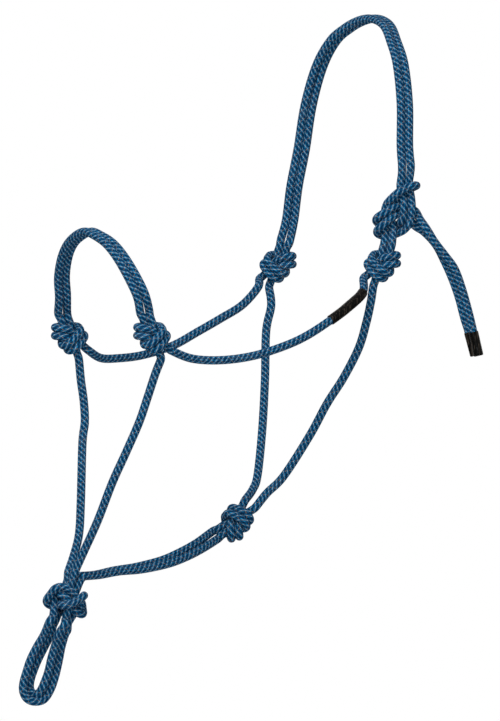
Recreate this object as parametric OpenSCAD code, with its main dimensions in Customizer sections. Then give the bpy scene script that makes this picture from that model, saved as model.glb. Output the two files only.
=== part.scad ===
// Rope halter for an average-size horse: one length of kernmantle rope, doubled over the nose,
// the poll and the jaw, and held in shape by its knots alone.
// +Z is up, the nose points towards -Y, and +X is the horse's left side, where the halter is tied.
// The origin is the seat on the poll, under the middle of the crown.

/* [Rope] */
// Diameter of the rope
rope_d = 8; // [7:0.5:9]
// Diameter of the rope where a knot squeezes it, as a share of rope_d
knot_squeeze = 0.86; // [0.82:0.01:0.86]
// Spacing of two runs that lie side by side, in rope diameters
pair_pitch = 1.06; // [1.06:0.01:1.15]

/* [Nose] */
// Distance between the centres of the two nose knots
nose_w = 140; // [130:1:150]
// Depth of the nose knots below the poll seat
nose_drop = 305; // [290:1:320]
// Reach of the nose knots in front of the poll seat
nose_reach = 301; // [285:1:315]
// Rise of the noseband over the nose knots
noseband_rise = 100; // [90:1:115]

/* [Cheeks] */
// Distance between the centres of the two cheek knots
cheek_w = 176; // [166:1:190]
// Depth of the cheek knots below the poll seat
cheek_drop = 235; // [220:1:250]
// Reach of the cheek knots in front of the poll seat
cheek_reach = 43; // [35:1:55]
// Height of the crown tie above the near cheek knot, in rope diameters
tie_rise = 5.6; // [5.6:0.1:6.5]

/* [Throat] */
// Depth of the throat knot below the poll seat
throat_drop = 486; // [475:1:500]
// Reach of the throat knot in front of the poll seat
throat_reach = 155; // [145:1:165]
// Depth of the fiador knot below the poll seat
fiador_drop = 561; // [550:1:575]
// Reach of the fiador knot in front of the poll seat
fiador_reach = 353; // [340:1:365]

/* [Sleeve and tips] */
// Length of the plain black sleeve on the near cheek rope
sleeve_l = 48; // [35:1:55]
// Wall of the sleeve
sleeve_wall = 0.8; // [0.6:0.1:1.2]
// Length of each black end tip
tip_l = 24; // [18:1:30]
// Wall of the tips
tip_wall = 0.6; // [0.5:0.1:1]
// Clearance between the rope and what is pushed on over it
push_fit = 0.15; // [0.1:0.05:0.3]

/* [Hidden] */

sides = 8;                    // sides of every rope
run_step = 15;                // spacing of the rings along a run
knot_step = 3.2;              // spacing of the rings inside a knot
scale_k = rope_d / 8;         // the knots' points are drawn for an 8 mm rope
rope_r = rope_d / 2;
knot_r = rope_r * knot_squeeze;
overhand_ball = 20.5 * scale_k; // the overhand knots lie inside this radius
fiador_ball = 24.6 * scale_k;   // the fiador knot lies inside this one
joint_gap = 0.5;              // between a knot and a run that swings on it
jaw_gap = 0.8;                // between the throat knot and the jaw ropes, which follow it in a swing
lead_in = 3.5 * scale_k;       // straight start of a run, out of its knot
stub = 2.5 * scale_k;         // straight end of a knot's own ropes
sleeve_back = 27;             // from the sleeve to the near cheek knot
blue = [0.10, 0.32, 0.55];
black = [0.06, 0.06, 0.07];

// ---- vectors
function unit(v) = v / norm(v);
function square_to(v, t) = unit(v - (v * t) * t);
function mirror_x(p) = [-p.x, p.y, p.z];

// ---- smooth curves through hand-set points
function spline_at(a, b, c, d, t) =
    0.5 * (2 * b + (c - a) * t + (2 * a - 5 * b + 4 * c - d) * t * t + (3 * b - a - 3 * c + d) * t * t * t);
function spline(p, step) = let (n = len(p), last = n - 1) [
    for (i = [0 : n - 2])
        let (a = i > 0 ? p[i - 1] : 2 * p[0] - p[1], d = i < n - 2 ? p[i + 2] : 2 * p[last] - p[last - 1],
             cuts = max(1, round(norm(p[i + 1] - p[i]) / step)))
        for (k = [0 : cuts - 1]) spline_at(a, p[i], p[i + 1], d, k / cuts),
    p[last]
];

// ---- tubes swept along a curve
function tangents(c) = let (last = len(c) - 1)
    [for (i = [0 : last]) unit(c[min(i + 1, last)] - c[max(i - 1, 0)])];
function normals(t) = let (start = abs(t[0].z) < 0.8 ? [0, 0, 1] : [1, 0, 0])
    [for (i = 0, n = square_to(start, t[0]); i < len(t); i = i + 1, n = i < len(t) ? square_to(n, t[i]) : n) n];
// Rings of radius r round the curve c, one ring per point
function rings(c, r) = let (t = tangents(c), n = normals(t))
    [for (i = [0 : len(c) - 1]) let (m = cross(t[i], n[i]))
        [for (s = [0 : sides - 1]) c[i] + r * (cos(360 * s / sides) * n[i] + sin(360 * s / sides) * m)]];
function ring_faces(a, b) = [for (s = [0 : sides - 1]) let (q = (s + 1) % sides)
    each [[a + s, b + s, b + q], [a + s, b + q, a + q]]];
function reversed(v) = [for (i = [len(v) - 1 : -1 : 0]) v[i]];
function joined(lists) = [for (list = lists) each list];

// A closed tube through rings in order, with flat ends
module tube(loops) {
    n = len(loops);
    polyhedron(points = joined(loops), faces = concat(
        [[for (s = [0 : sides - 1]) s]],
        [for (i = [0 : n - 2]) each ring_faces(i * sides, (i + 1) * sides)],
        [[for (s = [sides - 1 : -1 : 0]) (n - 1) * sides + s]]));
}
// The same with the last ring joined to the first, for a hollow sleeve
module hoop(loops) {
    n = len(loops);
    polyhedron(points = joined(loops),
        faces = [for (i = [0 : n - 1]) each ring_faces(i * sides, ((i + 1) % n) * sides)]);
}
module run(points) color(blue) tube(rings(spline(points, run_step), rope_r));
module knotted(points) color(blue) tube(rings(spline(points, knot_step), knot_r));

// ---- lengths of rope cut from a curve, for what is pushed on over it
function travelled(c) = [for (i = 0, s = 0; i < len(c); i = i + 1, s = i < len(c) ? s + norm(c[i] - c[i - 1]) : s) s];
function whole(c) = travelled(c)[len(c) - 1];
function ring_at(loops, way, s) =
    let (k = max([for (i = [0 : len(way) - 2]) if (way[i] <= s + 0.001) i]), f = (s - way[k]) / (way[k + 1] - way[k]))
    [for (v = [0 : sides - 1]) loops[k][v] * (1 - f) + loops[k + 1][v] * f];
function cut(c, r, from, to) = let (loops = rings(c, r), way = travelled(c)) concat(
    [ring_at(loops, way, from)],
    [for (i = [0 : len(c) - 1]) if (way[i] > from + 0.5 && way[i] < to - 0.5) loops[i]],
    [ring_at(loops, way, to)]);
// Rings that round a tube's end off, the small one last
function dome(loop, centre, axis) = let (r = norm(loop[0] - centre))
    [for (a = [60, 35, 12]) [for (v = loop) centre + (v - centre) * sin(a) + axis * r * cos(a)]];
function shifted(loop, by) = [for (v = loop) v + by];

// ---- the face plane: the knots are dressed with their faces turned this way
face_az = 55;
across = [cos(face_az), sin(face_az), 0];
out = [sin(face_az), -cos(face_az), 0];
up = [0, 0, 1];
// A knot's pose: its centre, its three axes and the ball it lies in
function pose(centre, roll = 0, hand = 1) = [centre, hand * (cos(roll) * across + sin(roll) * up),
    cos(roll) * up - sin(roll) * across, out, overhand_ball];
function place(k, p) = k[0] + scale_k * (p.x * k[1] + p.y * k[2] + p.z * k[3]);
function placed(k, points) = [for (p = points) place(k, p)];
// The point straight out through p, at this distance from the knot's ball
function beyond(k, p, more = 0) = k[0] + (k[4] + more) * unit(place(k, p) - k[0]);
// A knot's rope with both its ends squared up on the ball
function squared(k, points) = let (n = len(points), a = points[0], b = points[n - 1]) concat(
    [beyond(k, a), beyond(k, a, -stub)], [for (i = [1 : n - 2]) place(k, points[i])],
    [beyond(k, b, -stub), beyond(k, b)]);

nose_near = pose([nose_w / 2, -nose_reach, -nose_drop]);
nose_far = pose([-nose_w / 2, -nose_reach, -nose_drop]);
cheek_near = pose([cheek_w / 2, -cheek_reach, -cheek_drop], 0, -1);
cheek_far = pose([-cheek_w / 2, -cheek_reach, -cheek_drop], 0, -1);
throat_roll = 105;
throat = pose([0, -throat_reach, -throat_drop], throat_roll);
fiador_lean = 22;
fiador = [[0, -fiador_reach, -fiador_drop], [1, 0, 0], [0, sin(fiador_lean), cos(fiador_lean)],
    [0, cos(fiador_lean), -sin(fiador_lean)], fiador_ball];
tie = pose(cheek_near[0] + 8 * scale_k * across + tie_rise * rope_d * up - 6 * scale_k * out);

// ---- double overhand knot, as [across, up, out] for an 8 mm rope
// Two ropes come in together at the top and leave apart at the bottom.
overhand_a = [
    [-10, 17.8, 0.5], [-7.5, 10.5, -0.5], [-7, 2.5, -0.5], [-7.5, -4, 0], [-8, -8, 3.5], [-5.5, -9.5, 8.5],
    [0, -7.5, 11.5], [5, -2.5, 10], [9.5, 2.5, 6.5], [9.5, 6, 1.5], [7.5, 8, -5], [2, 9, -10],
    [-5, 8.5, -9.5], [-11.5, 8, -6.5], [-14.5, 7.5, -1], [-12, 7, 5], [-6.5, 6, 6.5], [-1, 4.5, 5],
    [4, 0.5, 1.5], [7.5, -4.5, -3], [11, -8.5, -4.5], [15, -12.5, -6]
];
overhand_b = [
    [-2.8, 20, -3.2], [-1, 13, -2.5], [0, 6, -3.5], [-0.5, -0.5, -4.5], [-1.5, -6.5, -3.5], [-2.5, -11, -1.5],
    [-2, -14, 3], [1.5, -14, 7.5], [6, -11.5, 9], [10, -7.5, 6.5], [12.5, -3.5, 2.5], [13.5, 0, -2],
    [10.5, 1, -7.2], [4, 1, -11], [-3, 1, -11.7], [-9, 0.5, -8.5], [-14, 0, -3.5], [-14, -0.5, 2.5],
    [-10, -1, 6.5], [-4.5, -2, 6.5], [0, -5.5, 4], [3.5, -9, 2], [5.5, -13.5, 1.5], [7, -19, 1.5]
];
in_a = overhand_a[0];
in_b = overhand_b[0];
out_a = overhand_a[len(overhand_a) - 1];
out_b = overhand_b[len(overhand_b) - 1];
module overhand(k) {
    knotted(squared(k, overhand_a));
    knotted(squared(k, overhand_b));
}

// ---- fiador knot: four ropes, each a quarter turn on from the last, as [radius, angle, up]
fiador_strand = [
    [6.7, -8, 23.7], [5.8, -10, 15], [5.5, -12, 6], [6, -16, -2], [8, -20, -7], [12, -11, -10.5],
    [16.5, 3, -10], [18.5, 17, -7.5], [19, 29, -2.5], [19, 41, 2.5], [18.5, 53, 7.5], [16, 67, 10.5],
    [13, 86, 9.5], [11.5, 109, 7.5], [11.5, 133, 4], [13, 155, 1], [13, 179, -1.5], [11.5, 200, -6],
    [11, 208, -12], [10, 211, -17], [9.5, 214, -22.5]
];
fiador_turn = 53;
function fiador_rope(turn) = [for (p = fiador_strand) let (a = p.y + fiador_turn + 90 * turn) [p.x * cos(a), p.z, p.x * sin(a)]];
function fiador_in(turn) = fiador_rope(turn)[0];
function fiador_out(turn) = fiador_rope(turn)[len(fiador_strand) - 1];
jaw_near_turn = 0;
jaw_far_turn = 1;
chin_far_turn = 2;
chin_near_turn = 3;

// ---- sheet bend that ties the crown into the loop, as [across, up, out]
tie_front = [
    [11.8, 46, 0], [11.5, 39, 0], [10.5, 32, 0.5], [12, 25, 1], [13.5, 18.5, 3.5], [14, 11.5, 5.5],
    [13.5, 4.5, 5], [12, -1.5, 3], [9, -6, -2], [4.5, -9, -6.5], [-2.5, -9.5, -7.5], [-9, -8, -6.5],
    [-13.5, -5, -2.5], [-12.5, -1, 3.5], [-7.5, 2.5, 6.5], [-1.5, 6.5, 7], [3.5, 10, 4], [9, 12, -0.5],
    [15.5, 11, -2.5], [21.5, 7.5, -3.5]
];
tie_rear = [
    [20.2, 46, 0], [19.3, 39, 0], [18.3, 32, 0], [20, 25.5, 1.5], [21, 18.5, 2.5], [21.5, 11.5, 4],
    [21, 5, 3.5], [19.5, -2, 2.5], [17, -7.8, -0.5], [13, -13, -3], [7.5, -16.5, -5.5], [1, -19, -7],
    [-5.5, -19.5, -6.5], [-12, -18, -4], [-13.5, -14.5, 2], [-10, -10.5, 6.5], [-5, -6.5, 7.5],
    [0, -2, 6], [5, 2, 3], [9.5, 3, -2], [16, 0, -4.5], [22.5, -6.5, -5.5]
];
tie_eye = [
    [-6, -15.5, 0.5], [-6, -8.5, 0], [-6, -1.5, -0.5], [-5.5, 5.5, -0.5], [-3.5, 12, 1.5], [0.5, 17.5, 4],
    [5, 22, 6.5], [10.5, 26, 8.5], [17, 29, 8], [23, 31.5, 6.5], [26, 31.5, 0], [22.5, 30.5, -6],
    [16.5, 27.5, -7.5], [11, 23, -7.5], [6.5, 17.5, -7], [3.5, 11.5, -6], [1.5, 5, -4.5],
    [1.5, -1.5, -2.5], [1.5, -8, 0.5], [1.5, -15, 0.5]
];

// ---- routes of the runs
// A run starts and ends straight out of its knots; between them each row is
// [share of the way, bow in x, y and z].
function bow(p, q, rows) = [for (r = rows) p + r[0] * (q - p) + [r[1], r[2], r[3]]];
function between(ka, pa, gap_a, kb, pb, gap_b, rows) =
    let (a = beyond(ka, pa, gap_a), b = beyond(kb, pb, gap_b))
    concat([a, beyond(ka, pa, lead_in)], bow(a, b, rows), [beyond(kb, pb, lead_in), b]);
function aside(p, direction, hand) = p + hand * rope_d * pair_pitch / 2 * unit(direction);

cheek_near_bow = [
    [0.1, -1, 5, -17], [0.22, 2, 8, -27], [0.36, 5, 10, -33], [0.5, 9, 10, -34],
    [0.62, 11, 9, -32], [0.74, 13, 7, -26], [0.84, 15, 5, -19], [0.93, 13, 3, -11]
];
cheek_far_bow = [
    [0.08, -5, 4, -15], [0.16, -4, 6, -21], [0.29, -3, 8, -27], [0.45, -1, 9, -29],
    [0.59, 2, 8, -25], [0.71, 5, 7, -21], [0.83, 8, 6, -16], [0.93, 9, 3, -6]
];
chin_near_bow = [
    [0.08, 1, 2, -1], [0.17, 0, 3, -4], [0.28, 3, 2, -5], [0.42, 5, -1, -5], [0.56, 4, -2, -4],
    [0.73, 3, -1, -4], [0.88, -1, 0, -3]
];
chin_far_bow = [
    [0.09, -6, 9, -5], [0.17, -10, 16, -8], [0.26, -11, 19, -9], [0.36, -12, 18, -9],
    [0.62, -9, 17, -9], [0.78, -5, 14, -6], [0.89, -3, 8, -3]
];
throat_far_bow = [
    [0.09, -3, 10, -6], [0.17, -4, 14, -9], [0.38, -7, 15, -10], [0.6, -8, 12, -8], [0.8, -5, 5, -4],
    [0.91, 0, 4, -2]
];
throat_near_bow = [
    [0.1, -6, 7, -6], [0.19, -3, 12, -9], [0.36, 3, 14, -7], [0.5, 6, 12, -7], [0.62, 8, 13, -8],
    [0.75, 8, 12, -8], [0.85, 6, 8, -5], [0.93, 3, 4, -2]
];
// Jaw: [share of the way, bow x, y, z, then the direction from the near rope to the far one]
jaw_bow = [
    [0.12, 0, 2, -1, -1, 0, 0], [0.25, 1, 3, -3, -1, 0, 0.1], [0.4, 3, 3, -7, -1, -0.1, 0.3],
    [0.57, 5, 3, -9, -1, -0.2, 0.5], [0.7, 6, 2, -8, -1, -0.3, 0.8], [0.83, 6, 1, -5, -0.8, -0.45, 0.9]
];
// Noseband: [share of half the width, reach past the knots, share of the rise, side direction x, y, z]
noseband_line = [
    [0.95, 11, 0.38, 0.5, 1, 0.4], [0.85, 17, 0.57, 0.3, 1, 0.3], [0.67, 22, 0.76, 0.1, 1, 0.2],
    [0.46, 25, 0.89, 0, 1, 0.1], [0.2, 27, 0.97, 0, 1, 0]
];
noseband_top = [0, 27, 1, 0, 1, 0];
// Crown, from the far cheek knot up to the poll, then down to the tie:
// [share of half the width, y, share of the drop, side direction x, y]
crown_far_line = [
    [1.03, -26, 0.82, 0.6, 1], [1.04, -20, 0.68, 0.6, 1], [1, -14, 0.53, 0.6, 1], [0.93, -10, 0.35, 0.4, 1],
    [0.78, -6, 0.19, 0.2, 1], [0.58, -2, 0.088, 0, 1], [0.39, 3, 0.038, 0, 1], [0.2, 6, 0.01, 0, 1]
];
crown_near_line = [
    [0.2, 6, 0.01, 0, 1], [0.39, 3, 0.038, 0, 1], [0.59, -3, 0.095, 0, 1], [0.8, -8, 0.19, 0.2, 1],
    [0.96, -13, 0.35, 0.4, 1], [1.05, -18.5, 0.52, 0.6, 1]
];
module noseband_rope(p, hand) {
    function at(r, side) = aside([side * r[0] * nose_w / 2, -nose_reach - r[1], -nose_drop + r[2] * noseband_rise],
        [r[3], r[4], r[5]], hand);
    run(concat(
        [beyond(nose_near, p, joint_gap), beyond(nose_near, p, lead_in)],
        [for (r = noseband_line) at(r, 1)],
        [at(noseband_top, 1)],
        [for (r = reversed(noseband_line)) at(r, -1)],
        [beyond(nose_far, p, lead_in), beyond(nose_far, p, joint_gap)]));
}
module crown_rope(p, tie_points, hand) {
    function at(r, side) = aside([side * r[0] * cheek_w / 2, r[1], rope_r - r[2] * (cheek_drop + rope_r)],
        [r[3], r[4], 0], hand);
    run(concat(
        [beyond(cheek_far, p, joint_gap), beyond(cheek_far, p, lead_in)],
        [for (r = crown_far_line) at(r, -1)],
        [at([0, 7, 0, 0, 1], 1)],
        [for (r = crown_near_line) at(r, 1)],
        [place(tie, tie_points[0] + [0, 5, 0]), place(tie, tie_points[0])]));
}

// ---- crown and tie
module crown_rope_front() crown_rope(in_b, tie_front, -1);
module crown_rope_rear() crown_rope(in_a, tie_rear, 1);
module tie_knot_front() knotted(placed(tie, tie_front));
module tie_knot_rear() knotted(placed(tie, tie_rear));
module tie_loop() knotted(concat(
    [beyond(cheek_near, in_b, joint_gap), beyond(cheek_near, in_b, stub)], placed(tie, tie_eye),
    [beyond(cheek_near, in_a, stub), beyond(cheek_near, in_a, joint_gap)]));

// ---- tails, from the tie down to their tips, as [across, up, out] from the tie
tail_front_line = [
    [29, -2, -3], [35.5, -11.5, 2], [43.5, -24.5, 3.5], [53.5, -37.5, 3.5], [62.5, -50, 3.5], [69, -67, 4],
    [75.5, -89.5, 4], [81, -112, 4], [86, -134, 4]
];
tail_rear_line = [
    [33.5, -14.5, -6.5], [44.5, -26.5, -5.5], [52.5, -41.5, -5], [60.5, -59.5, -5], [67, -78, -5.5],
    [72, -97, -5.5], [76.5, -111.5, -5.5], [82.5, -134, -5.5]
];
// A tail starts at a round end that can roll in front of the tie's last face
function tail_pivot(tie_points) = let (n = len(tie_points), a = place(tie, tie_points[n - 1]))
    a + (joint_gap + rope_r) * unit(a - place(tie, tie_points[n - 2]));
function tail_curve(tie_points, line) = spline(concat([tail_pivot(tie_points)], placed(tie, line)), run_step);
module tail(tie_points, line) {
    c = tail_curve(tie_points, line);
    loops = rings(c, rope_r);
    color(blue) tube(concat(reversed(dome(loops[0], c[0], unit(c[0] - c[1]))), loops));
}
module tail_tip(tie_points, line) {
    c = tail_curve(tie_points, line);
    n = len(c) - 1;
    end = unit(c[n] - c[n - 1]);
    from = whole(c) - tip_l + tip_wall + push_fit;
    bore = cut(c, rope_r + push_fit, from, whole(c));
    skin = cut(c, rope_r + push_fit + tip_wall, from, whole(c));
    last = len(skin) - 1;
    rim = [for (v = skin[last]) c[n] + 0.8 * (v - c[n]) + (push_fit + tip_wall) * end];
    color(black) tube(concat([shifted(bore[last], push_fit * end)], reversed(bore), skin, [rim]));
}
module tail_front() tail(tie_front, tail_front_line);
module tail_rear() tail(tie_rear, tail_rear_line);
module tail_tip_front() tail_tip(tie_front, tail_front_line);
module tail_tip_rear() tail_tip(tie_rear, tail_rear_line);

// ---- cheeks
module cheek_knot_near() overhand(cheek_near);
module cheek_knot_far() overhand(cheek_far);
cheek_near_route = between(nose_near, out_a, 0, cheek_near, out_a, 0, cheek_near_bow);
module cheek_rope_near() run(cheek_near_route);
module cheek_rope_far() run(between(nose_far, out_a, 0, cheek_far, out_a, 0, cheek_far_bow));
module label_sleeve() {
    c = spline(cheek_near_route, run_step);
    to = whole(c) - sleeve_back;
    color(black) hoop(concat(cut(c, rope_r + push_fit + sleeve_wall, to - sleeve_l, to),
        reversed(cut(c, rope_r + push_fit, to - sleeve_l, to))));
}

// ---- nose and chin
module nose_knot_near() overhand(nose_near);
module nose_knot_far() overhand(nose_far);
module noseband_rope_front() noseband_rope(in_a, -1);
module noseband_rope_rear() noseband_rope(in_b, 1);
module chin_rope(nose, turn, rows) run(between(nose, out_b, joint_gap, fiador, fiador_in(turn), 0, rows));
module chin_rope_near() chin_rope(nose_near, chin_near_turn, chin_near_bow);
module chin_rope_far() chin_rope(nose_far, chin_far_turn, chin_far_bow);
module fiador_knot() for (turn = [0 : 3]) knotted(squared(fiador, fiador_rope(turn)));

// ---- throat and jaw
module throat_rope(p, cheek, rows) run(between(throat, p, 0, cheek, out_b, joint_gap, rows));
module throat_rope_near() throat_rope(out_b, cheek_near, throat_near_bow);
module throat_rope_far() throat_rope(out_a, cheek_far, throat_far_bow);
module throat_knot() overhand(throat);
module jaw_rope(turn, p, hand) {
    a = (beyond(fiador, fiador_in(jaw_near_turn)) + beyond(fiador, fiador_in(jaw_far_turn))) / 2;
    b = (beyond(throat, in_a) + beyond(throat, in_b)) / 2;
    run(concat(
        [beyond(fiador, fiador_in(turn), joint_gap), beyond(fiador, fiador_in(turn), lead_in)],
        [for (r = jaw_bow) aside(a + r[0] * (b - a) + [r[1], r[2], r[3]], [r[4], r[5], r[6]], hand)],
        [beyond(throat, p, lead_in), beyond(throat, p, jaw_gap)]));
}
module jaw_rope_near() jaw_rope(jaw_near_turn, in_a, -1);
module jaw_rope_far() jaw_rope(jaw_far_turn, in_b, 1);

// ---- lead loops, as [across, up, out] from the fiador knot, hanging straight
outer_loop = [
    [-22, -33, 4], [-29, -45, 4], [-35, -57, 4], [-39, -69, 4], [-42, -80, 4], [-42, -88, 4],
    [-38.5, -94.5, 3.5], [-31.5, -97.5, 2.5], [-22.5, -95.5, 0], [-16, -86, -2.5], [-11.5, -73, -3.5],
    [-8, -58, -3.5], [-5.5, -45, -3.5], [-2, -33, -3]
];
inner_loop = [
    [-15.5, -32, -4], [-22, -45, -4.5], [-28, -57, -4.5], [-32.5, -68, -4.5], [-35.5, -78, -4.5],
    [-35.5, -86, -4.5], [-31, -91, -1.5], [-26, -88, 2], [-22, -80, 4], [-18, -69, 4], [-15, -56, 4.5],
    [-11.5, -44, 6], [-7.5, -32, 11]
];
module lead_loop(start_turn, end_turn, points) {
    function leave(turn, more) = beyond(fiador, fiador_out(turn), more);
    run(concat([leave(start_turn, joint_gap), leave(start_turn, lead_in)], placed(pose(fiador[0]), points),
        [leave(end_turn, lead_in), leave(end_turn, joint_gap)]));
}
module lead_loop_outer() lead_loop(jaw_near_turn, chin_far_turn, outer_loop);
module lead_loop_inner() lead_loop(chin_near_turn, jaw_far_turn, inner_loop);

crown_rope_front();
crown_rope_rear();
tie_loop();
tie_knot_front();
tie_knot_rear();
tail_front();
tail_rear();
tail_tip_front();
tail_tip_rear();
cheek_knot_near();
cheek_knot_far();
cheek_rope_near();
cheek_rope_far();
label_sleeve();
nose_knot_near();
nose_knot_far();
noseband_rope_front();
noseband_rope_rear();
chin_rope_near();
chin_rope_far();
throat_rope_near();
throat_rope_far();
throat_knot();
jaw_rope_near();
jaw_rope_far();
fiador_knot();
lead_loop_outer();
lead_loop_inner();
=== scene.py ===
# Rope halter: one braided rope, knotted and tied, with a plain sleeve and two capped ends.
import math

import bpy
import numpy as np
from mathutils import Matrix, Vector


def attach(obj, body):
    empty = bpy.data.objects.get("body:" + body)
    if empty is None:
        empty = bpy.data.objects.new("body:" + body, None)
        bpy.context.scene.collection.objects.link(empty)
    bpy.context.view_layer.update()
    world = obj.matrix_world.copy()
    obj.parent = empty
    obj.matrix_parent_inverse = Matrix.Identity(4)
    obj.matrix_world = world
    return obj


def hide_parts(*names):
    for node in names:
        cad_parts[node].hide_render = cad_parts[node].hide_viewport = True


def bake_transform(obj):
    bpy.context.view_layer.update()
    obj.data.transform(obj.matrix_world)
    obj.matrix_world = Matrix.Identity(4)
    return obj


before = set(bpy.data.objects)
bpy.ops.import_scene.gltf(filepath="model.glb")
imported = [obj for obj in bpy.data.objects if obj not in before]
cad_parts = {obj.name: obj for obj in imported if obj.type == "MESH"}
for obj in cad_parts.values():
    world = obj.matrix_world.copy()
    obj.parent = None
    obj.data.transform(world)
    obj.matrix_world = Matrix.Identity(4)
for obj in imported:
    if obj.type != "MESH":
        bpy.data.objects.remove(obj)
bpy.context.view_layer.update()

MM = 0.001

# ---------------------------------------------------------------- camera
VIEW_AZIMUTH = math.radians(55)
VIEW_CENTRE = Vector((-0.0645, -0.0922, -0.3294))
VIEW_HEIGHT = 0.6994
VIEW_DISTANCE = 20.0
VIEW_DEPTH = 0.1         # the view's height holds this far in front of its centre
SENSOR = 36.0


def add_camera():
    """A long lens from far off, so that near and far ropes show at one scale."""
    data = bpy.data.cameras.new("Camera")
    data.sensor_fit = "VERTICAL"
    data.sensor_height = SENSOR
    data.lens = SENSOR * VIEW_DISTANCE / VIEW_HEIGHT
    data.clip_start, data.clip_end = 1, 60
    back = Vector((math.sin(VIEW_AZIMUTH), -math.cos(VIEW_AZIMUTH), 0))
    camera = bpy.data.objects.new("Camera", data)
    camera.location = VIEW_CENTRE + (VIEW_DISTANCE + VIEW_DEPTH) * back
    camera.rotation_euler = back.to_track_quat("Z", "Y").to_euler()
    bpy.context.scene.collection.objects.link(camera)
    bpy.context.scene.camera = camera


add_camera()

# ---------------------------------------------------------------- sizes, in millimetres
# A _W is a width, a _DROP is down from the poll, and a _REACH is forward from it.
ROPE_R = 4.0
ROPE_D = 2 * ROPE_R
KNOT_R = 3.85            # the rope where a knot squeezes it
KNOT_SPACING = 7.8       # two ropes that press on each other in a knot
PAIR_PITCH = 1.01        # two ropes side by side, in diameters
NOSE_W, NOSE_DROP, NOSE_REACH, NOSEBAND_RISE = 140, 305, 301, 100
CHEEK_W, CHEEK_DROP, CHEEK_REACH = 176, 235, 43
TIE_RISE = 5.6           # the tie over the near cheek knot, in diameters
TIE_ACROSS, TIE_OUT = 8, -6  # and beside it
TIE_LEAD = 5             # straight rope above the tie
THROAT_DROP, THROAT_REACH, THROAT_ROLL = 486, 155, 105
FIADOR_DROP, FIADOR_REACH, FIADOR_LEAN = 561, 353, 22
OVERHAND_BALL, FIADOR_BALL = 20.5, 24.6
LEAD_IN, STUB = 3.5, 2.5  # straight rope outside and inside a knot's ball
SLEEVE_L, SLEEVE_BACK, SLEEVE_WALL = 48, 27, 0.8
TIP_L, TIP_WALL, PUSH_FIT = 24, 0.6, 0.15
SKIN_BITE = 0.15         # how far the inside of the sleeve or a tip sinks into the braid
RING_STEP = 0.7          # half a braid cell, so that rings fall on its ridges and valleys
YARNS = 16               # yarns of each hand round the rope
TRACER_EVERY = 4         # from one yarn with a pale thread to the next
TUBE_SIDES = 2 * YARNS


# ---------------------------------------------------------------- vectors and curves
def unit(v):
    v = np.asarray(v, float)
    return v / np.linalg.norm(v)


def travelled(points):
    steps = np.linalg.norm(np.diff(points, axis=0), axis=1)
    return np.concatenate([[0], np.cumsum(steps)])


def spline(points, step):
    """A smooth curve through the points, with points of its own about a step apart."""
    p = np.asarray(points, float)
    p = np.vstack([2 * p[0] - p[1], p, 2 * p[-1] - p[-2]])
    made = []
    for a, b, c, d in zip(p[:-3], p[1:-2], p[2:-1], p[3:]):
        cuts = max(1, round(np.linalg.norm(c - b) / step))
        t = (np.arange(cuts) / cuts)[:, None]
        made.append(0.5 * (2 * b + (c - a) * t + (2 * a - 5 * b + 4 * c - d) * t ** 2
                           + (3 * b - a - 3 * c + d) * t ** 3))
    return np.vstack(made + [p[-2:-1]])


def evenly(points, count):
    """The same curve as a number of equal steps."""
    way = travelled(points)
    at = np.linspace(0, way[-1], count + 1)
    return np.stack([np.interp(at, way, points[:, k]) for k in range(3)], axis=1)


# ---------------------------------------------------------------- knots, dressed with their faces this way
ACROSS = np.array([math.cos(VIEW_AZIMUTH), math.sin(VIEW_AZIMUTH), 0])
OUT = np.array([math.sin(VIEW_AZIMUTH), -math.cos(VIEW_AZIMUTH), 0])
UP = np.array([0, 0, 1.0])


class Knot:
    """A knot's centre, its axes and the ball it lies in."""

    def __init__(self, centre, roll=0, hand=1, axes=None, ball=OVERHAND_BALL):
        c, s = math.cos(math.radians(roll)), math.sin(math.radians(roll))
        self.centre = np.asarray(centre, float)
        self.axes = np.array(axes) if axes is not None else np.array(
            [hand * (c * ACROSS + s * UP), c * UP - s * ACROSS, OUT])
        self.ball = ball

    def place(self, points):
        return self.centre + np.asarray(points, float) @ self.axes

    def beyond(self, point, more=0.0):
        """The place straight out through a point, this far from the knot's ball."""
        return self.centre + (self.ball + more) * unit(self.place(point) - self.centre)

    def squared(self, points):
        """A rope of the knot with both its ends squared up on the ball."""
        a, b = points[0], points[-1]
        return np.vstack([self.beyond(a), self.beyond(a, -STUB), self.place(points[1:-1]),
                          self.beyond(b, -STUB), self.beyond(b)])


nose_near = Knot((NOSE_W / 2, -NOSE_REACH, -NOSE_DROP))
nose_far = Knot((-NOSE_W / 2, -NOSE_REACH, -NOSE_DROP))
cheek_near = Knot((CHEEK_W / 2, -CHEEK_REACH, -CHEEK_DROP), hand=-1)
cheek_far = Knot((-CHEEK_W / 2, -CHEEK_REACH, -CHEEK_DROP), hand=-1)
throat = Knot((0, -THROAT_REACH, -THROAT_DROP), roll=THROAT_ROLL)
lean_c, lean_s = math.cos(math.radians(FIADOR_LEAN)), math.sin(math.radians(FIADOR_LEAN))
fiador = Knot((0, -FIADOR_REACH, -FIADOR_DROP), ball=FIADOR_BALL,
              axes=((1, 0, 0), (0, lean_s, lean_c), (0, lean_c, -lean_s)))
lead = Knot((0, -FIADOR_REACH, -FIADOR_DROP))
tie = Knot(cheek_near.centre + TIE_ACROSS * ACROSS + TIE_RISE * ROPE_D * UP + TIE_OUT * OUT)

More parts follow.
